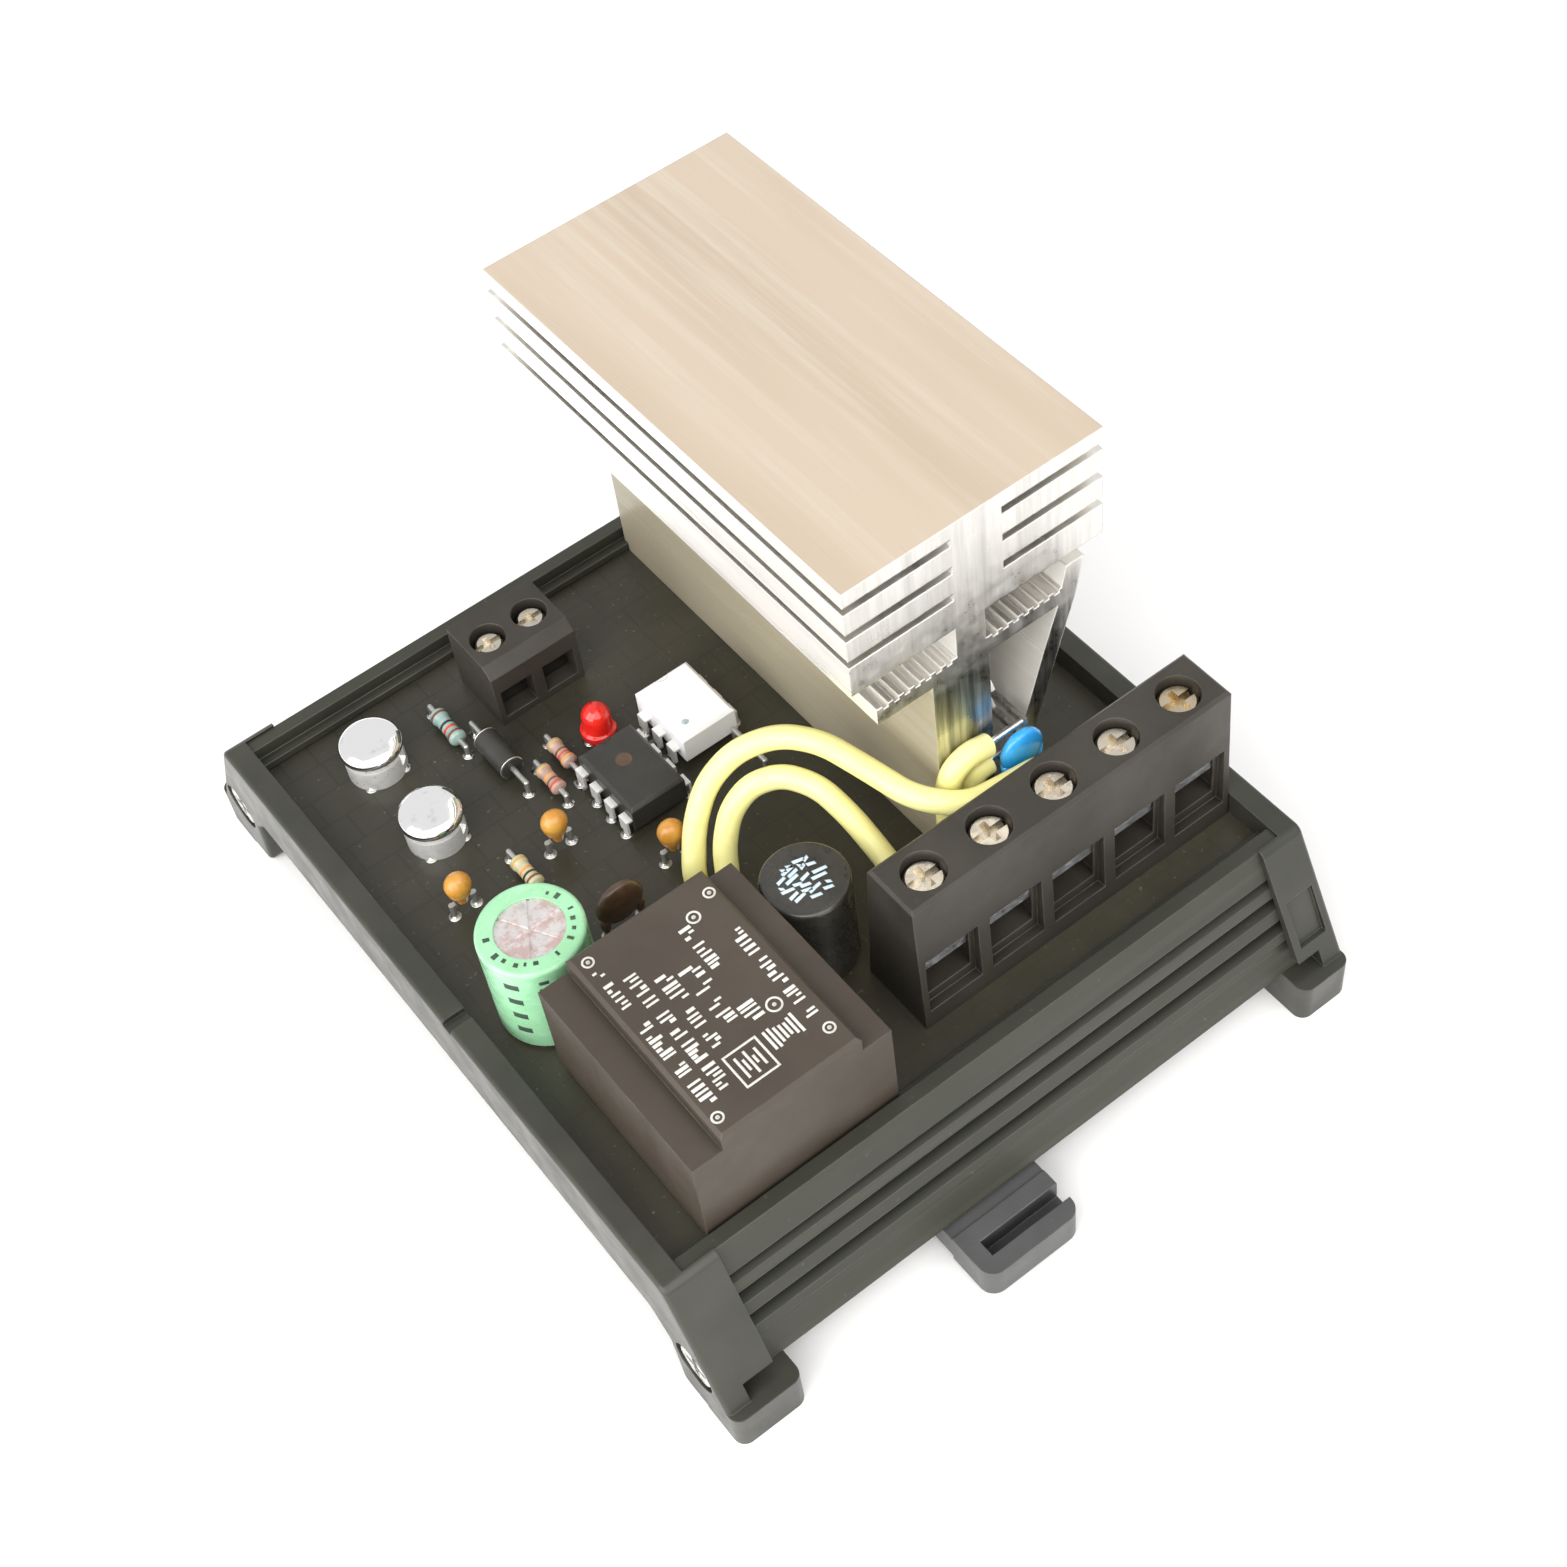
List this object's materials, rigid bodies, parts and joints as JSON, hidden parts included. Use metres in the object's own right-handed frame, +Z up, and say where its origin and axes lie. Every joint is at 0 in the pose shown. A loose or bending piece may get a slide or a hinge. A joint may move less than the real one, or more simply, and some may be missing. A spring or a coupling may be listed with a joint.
{
  "type": "rail-mounted relay board",
  "caption": "Open triac relay board with finned heat sink, potted transformer and screw terminals, in a rail-mounting carrier.",
  "frame": {"origin": "centre of the rail seat's axis plane at the underside of the end caps' feet", "axes": "+X along the carrier profile (across the board's short side), +Y from the five-pole terminal side to the far side, +Z up from the rail"},
  "size_m": [0.075, 0.0978, 0.0605],
  "materials": {
    "aluminium": "bare extruded aluminium, mill finish with lengthwise die lines",
    "bead_orange": "dipped orange resin",
    "black_pvc": "extruded black plastic, satin with fine lengthwise lines",
    "board_black": "black solder mask on glass-fibre board",
    "can_aluminium": "drawn aluminium can with a scored vent",
    "cap_plastic": "moulded black plastic, slightly shiny",
    "chrome": "polished chrome plate",
    "clamp_zinc": "zinc-plated steel",
    "disc_blue": "dipped blue resin",
    "disc_brown": "dipped brown resin",
    "foot_plastic": "moulded black plastic",
    "lamination": "stacked silicon-steel laminations",
    "latch_plastic": "moulded dark grey plastic",
    "led_red": "tinted diffused red epoxy",
    "moulding_black": "matt epoxy moulding",
    "moulding_white": "white epoxy moulding",
    "pad_grey": "silicone insulating pad",
    "potting": "cast resin",
    "resistor_body": "lacquered body with colour bands",
    "screw_nickel": "nickel-plated, slot worn bright",
    "sleeve_black": "black shrunk sleeve with pale bars",
    "sleeve_green": "mint-green shrunk sleeve with dark bars",
    "solder": "bright solder",
    "spring_steel": "spring steel",
    "terminal_plastic": "black polyamide",
    "tinned": "tinned copper",
    "transformer_plastic": "brown-black moulded case with white marks",
    "winding": "enamelled copper wire",
    "wire_yellow": "pale yellow PVC insulation",
    "zinc_steel": "zinc-plated steel"
  },
  "bodies": {
    "carrier": {"bead_capacitors": "bead_orange", "black_capacitor": "sleeve_black", "blue_disc_capacitor": "disc_blue", "brown_disc_capacitor": "disc_brown", "button_collars": "chrome", "button_domes": "spring_steel", "capacitor_cans": "can_aluminium", "carrier_profile": "black_pvc", "chip_leads": "tinned", "circuit_board": "board_black", "component_leads": "tinned", "control_chip": "moulding_black", "diode": "moulding_black", "end_cap_left": "cap_plastic", "end_cap_right": "cap_plastic", "end_cap_screws": "zinc_steel", "green_capacitor": "sleeve_green", "heat_sink": "aluminium", "heat_sink_screws": "zinc_steel", "led": "led_red", "optocoupler": "moulding_white", "power_terminal_body": "terminal_plastic", "rail_foot": "foot_plastic", "resistors": "resistor_body", "signal_terminal_body": "terminal_plastic", "solder_joints": "solder", "terminal_bars": "tinned", "transformer_case": "transformer_plastic", "transformer_coil": "winding", "transformer_core": "lamination", "transformer_pins": "tinned", "transformer_potting": "potting", "triac_body": "moulding_black", "triac_clip": "spring_steel", "triac_leads": "tinned", "triac_pad": "pad_grey", "triac_tab": "tinned", "yellow_wire_1": "wire_yellow", "yellow_wire_2": "wire_yellow", "yellow_wire_3": "wire_yellow", "yellow_wire_4": "wire_yellow"},
    "foot_latch": {"foot_latch": "latch_plastic"},
    "power_screw_1": {"power_screw_1": "screw_nickel"},
    "power_clamp_1": {"power_clamp_1": "clamp_zinc"},
    "power_screw_2": {"power_screw_2": "screw_nickel"},
    "power_clamp_2": {"power_clamp_2": "clamp_zinc"},
    "power_screw_3": {"power_screw_3": "screw_nickel"},
    "power_clamp_3": {"power_clamp_3": "clamp_zinc"},
    "power_screw_4": {"power_screw_4": "screw_nickel"},
    "power_clamp_4": {"power_clamp_4": "clamp_zinc"},
    "power_screw_5": {"power_screw_5": "screw_nickel"},
    "power_clamp_5": {"power_clamp_5": "clamp_zinc"},
    "signal_screw_1": {"signal_screw_1": "screw_nickel"},
    "signal_clamp_1": {"signal_clamp_1": "clamp_zinc"},
    "button_cap_1": {"button_cap_1": "chrome"},
    "signal_screw_2": {"signal_screw_2": "screw_nickel"},
    "signal_clamp_2": {"signal_clamp_2": "clamp_zinc"},
    "button_cap_2": {"button_cap_2": "chrome"}
  },
  "joints": [
    {"name": "power_screw_1_turn", "type": "hinge", "parent": "carrier", "child": "power_screw_1", "pos_m": [0.00105, -0.0283, 0.03], "axis": [0, 0, 1], "range_deg": [0, 2160]},
    {"name": "power_clamp_1_slide", "type": "slide", "parent": "carrier", "child": "power_clamp_1", "axis": [0, 0, 1], "range_m": [-0.003, 0]},
    {"name": "power_screw_2_turn", "type": "hinge", "parent": "carrier", "child": "power_screw_2", "pos_m": [0.00855, -0.0283, 0.03], "axis": [0, 0, 1], "range_deg": [0, 2160]},
    {"name": "power_clamp_2_slide", "type": "slide", "parent": "carrier", "child": "power_clamp_2", "axis": [0, 0, 1], "range_m": [-0.003, 0]},
    {"name": "power_screw_3_turn", "type": "hinge", "parent": "carrier", "child": "power_screw_3", "pos_m": [0.01605, -0.0283, 0.03], "axis": [0, 0, 1], "range_deg": [0, 2160]},
    {"name": "power_clamp_3_slide", "type": "slide", "parent": "carrier", "child": "power_clamp_3", "axis": [0, 0, 1], "range_m": [-0.003, 0]},
    {"name": "power_screw_4_turn", "type": "hinge", "parent": "carrier", "child": "power_screw_4", "pos_m": [0.02355, -0.0283, 0.03], "axis": [0, 0, 1], "range_deg": [0, 2160]},
    {"name": "power_clamp_4_slide", "type": "slide", "parent": "carrier", "child": "power_clamp_4", "axis": [0, 0, 1], "range_m": [-0.003, 0]},
    {"name": "power_screw_5_turn", "type": "hinge", "parent": "carrier", "child": "power_screw_5", "pos_m": [0.03105, -0.0283, 0.03], "axis": [0, 0, 1], "range_deg": [0, 2160]},
    {"name": "power_clamp_5_slide", "type": "slide", "parent": "carrier", "child": "power_clamp_5", "axis": [0, 0, 1], "range_m": [-0.003, 0]},
    {"name": "signal_screw_1_turn", "type": "hinge", "parent": "carrier", "child": "signal_screw_1", "pos_m": [-0.0102, 0.0287, 0.022], "axis": [0, 0, 1], "range_deg": [0, 900]},
    {"name": "signal_clamp_1_slide", "type": "slide", "parent": "carrier", "child": "signal_clamp_1", "axis": [0, 0, 1], "range_m": [-0.001, 0]},
    {"name": "signal_screw_2_turn", "type": "hinge", "parent": "carrier", "child": "signal_screw_2", "pos_m": [-0.0051, 0.0287, 0.022], "axis": [0, 0, 1], "range_deg": [0, 900]},
    {"name": "signal_clamp_2_slide", "type": "slide", "parent": "carrier", "child": "signal_clamp_2", "axis": [0, 0, 1], "range_m": [-0.001, 0]},
    {"name": "foot_latch_slide", "type": "slide", "parent": "carrier", "child": "foot_latch", "axis": [0, -1, 0], "range_m": [0, 0.0026], "stiffness_N_per_m": 2500, "springref_m": -0.0015},
    {"name": "button_1_press", "type": "slide", "parent": "carrier", "child": "button_cap_1", "axis": [0, 0, -1], "range_m": [0, 0.0006], "stiffness_N_per_m": 2000, "springref_m": -0.0004},
    {"name": "button_2_press", "type": "slide", "parent": "carrier", "child": "button_cap_2", "axis": [0, 0, -1], "range_m": [0, 0.0006], "stiffness_N_per_m": 2000, "springref_m": -0.0004}
  ],
  "couplings": [
    {"joint": "power_screw_1_turn", "follows": "power_clamp_1_slide", "rad_per_m": -12560},
    {"joint": "power_screw_2_turn", "follows": "power_clamp_2_slide", "rad_per_m": -12560},
    {"joint": "power_screw_3_turn", "follows": "power_clamp_3_slide", "rad_per_m": -12560},
    {"joint": "power_screw_4_turn", "follows": "power_clamp_4_slide", "rad_per_m": -12560},
    {"joint": "power_screw_5_turn", "follows": "power_clamp_5_slide", "rad_per_m": -12560},
    {"joint": "signal_screw_1_turn", "follows": "signal_clamp_1_slide", "rad_per_m": -15700},
    {"joint": "signal_screw_2_turn", "follows": "signal_clamp_2_slide", "rad_per_m": -15700}
  ]
}
